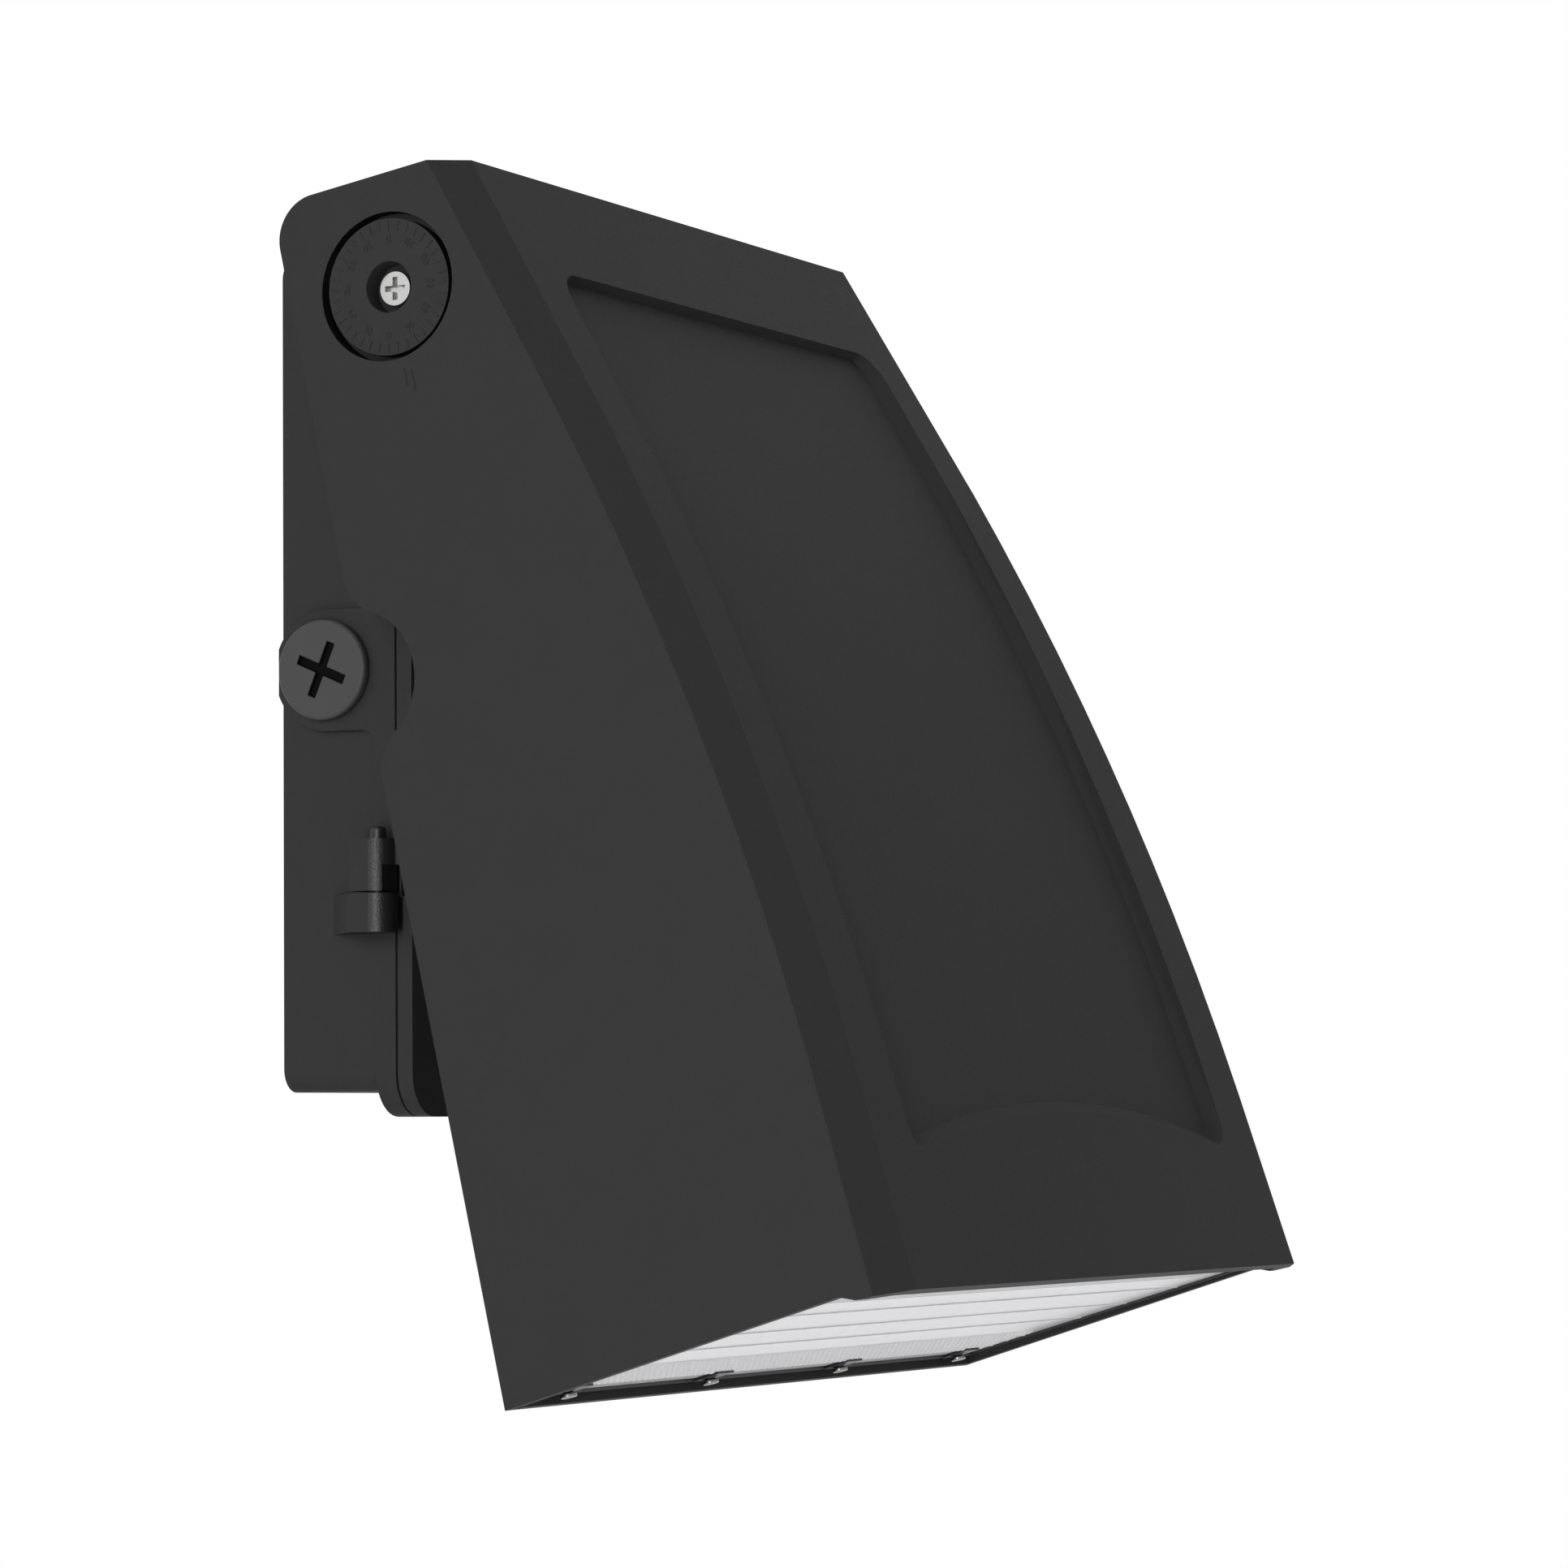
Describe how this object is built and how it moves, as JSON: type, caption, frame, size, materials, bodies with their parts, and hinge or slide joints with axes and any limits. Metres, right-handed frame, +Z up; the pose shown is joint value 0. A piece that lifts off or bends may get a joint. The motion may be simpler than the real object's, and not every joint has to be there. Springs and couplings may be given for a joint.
{
  "type": "wall pack light",
  "caption": "Wall-mounted outdoor light: a shallow cast wall box, a hinged door and a tilting tapered lamp head with a downward lens.",
  "frame": {"origin": "on the wall plane at the back of the wall box, in the middle of its width, level with the side conduit holes", "axes": "+Z up, -Y away from the wall towards the front of the light, +X to the right of someone facing the light"},
  "size_m": [0.2664, 0.1906, 0.3111],
  "materials": {
    "powder_coat": "fine-textured dark charcoal powder coat on die-cast aluminium",
    "plug_coat": "slightly lighter, smoother charcoal coat",
    "gasket_rubber": "matte black silicone",
    "black_plastic": "matte black moulded plastic",
    "bright_zinc": "bright zinc-plated steel",
    "ground_green": "green-dyed zinc-plated steel",
    "washer_steel": "plain stainless steel",
    "lens_glass": "moulded clear glass with a prismatic, frosted underside",
    "clip_steel": "blackened spring steel",
    "white_sheet": "gloss white painted sheet",
    "bare_aluminium": "bare rolled aluminium",
    "board_white": "white solder mask",
    "chip_yellow": "yellow phosphor under clear silicone",
    "driver_case": "satin anodised case"
  },
  "bodies": {
    "wall_box": {"wall_box": "powder_coat", "door_gasket": "gasket_rubber", "conduit_plug_left": "plug_coat", "conduit_plug_right": "plug_coat", "plug_seals": "gasket_rubber", "hinge_pins": "powder_coat", "terminal_block": "black_plastic", "terminal_screws": "bright_zinc", "ground_screw": "ground_green"},
    "door": {"door_plate": "powder_coat", "door_screws": "bright_zinc", "dial_left": "powder_coat", "dial_right": "powder_coat", "pivot_screws": "bright_zinc", "friction_washers": "washer_steel", "door_gland": "gasket_rubber"},
    "head": {"head_shell": "powder_coat", "rear_housing": "powder_coat", "housing_seal": "gasket_rubber", "housing_screws": "bright_zinc", "head_gland": "gasket_rubber", "optic_frame": "black_plastic", "lens_gasket": "gasket_rubber", "lens": "lens_glass", "lens_clips": "clip_steel", "clip_screws": "bright_zinc", "reflector_tray": "white_sheet", "heat_spreader": "bare_aluminium", "led_board": "board_white", "led_chips": "chip_yellow", "driver": "driver_case", "driver_screws": "bright_zinc"}
  },
  "joints": [
    {"name": "door_swing", "type": "hinge", "parent": "wall_box", "child": "door", "pos_m": [-0.1031, -0.0329, 0], "axis": [0, 0, -1], "range_deg": [0, 40]},
    {"name": "head_tilt", "type": "hinge", "parent": "door", "child": "head", "pos_m": [0, -0.0456, 0.0935], "axis": [-1, 0, 0], "range_deg": [-13.93, 76.07]}
  ]
}
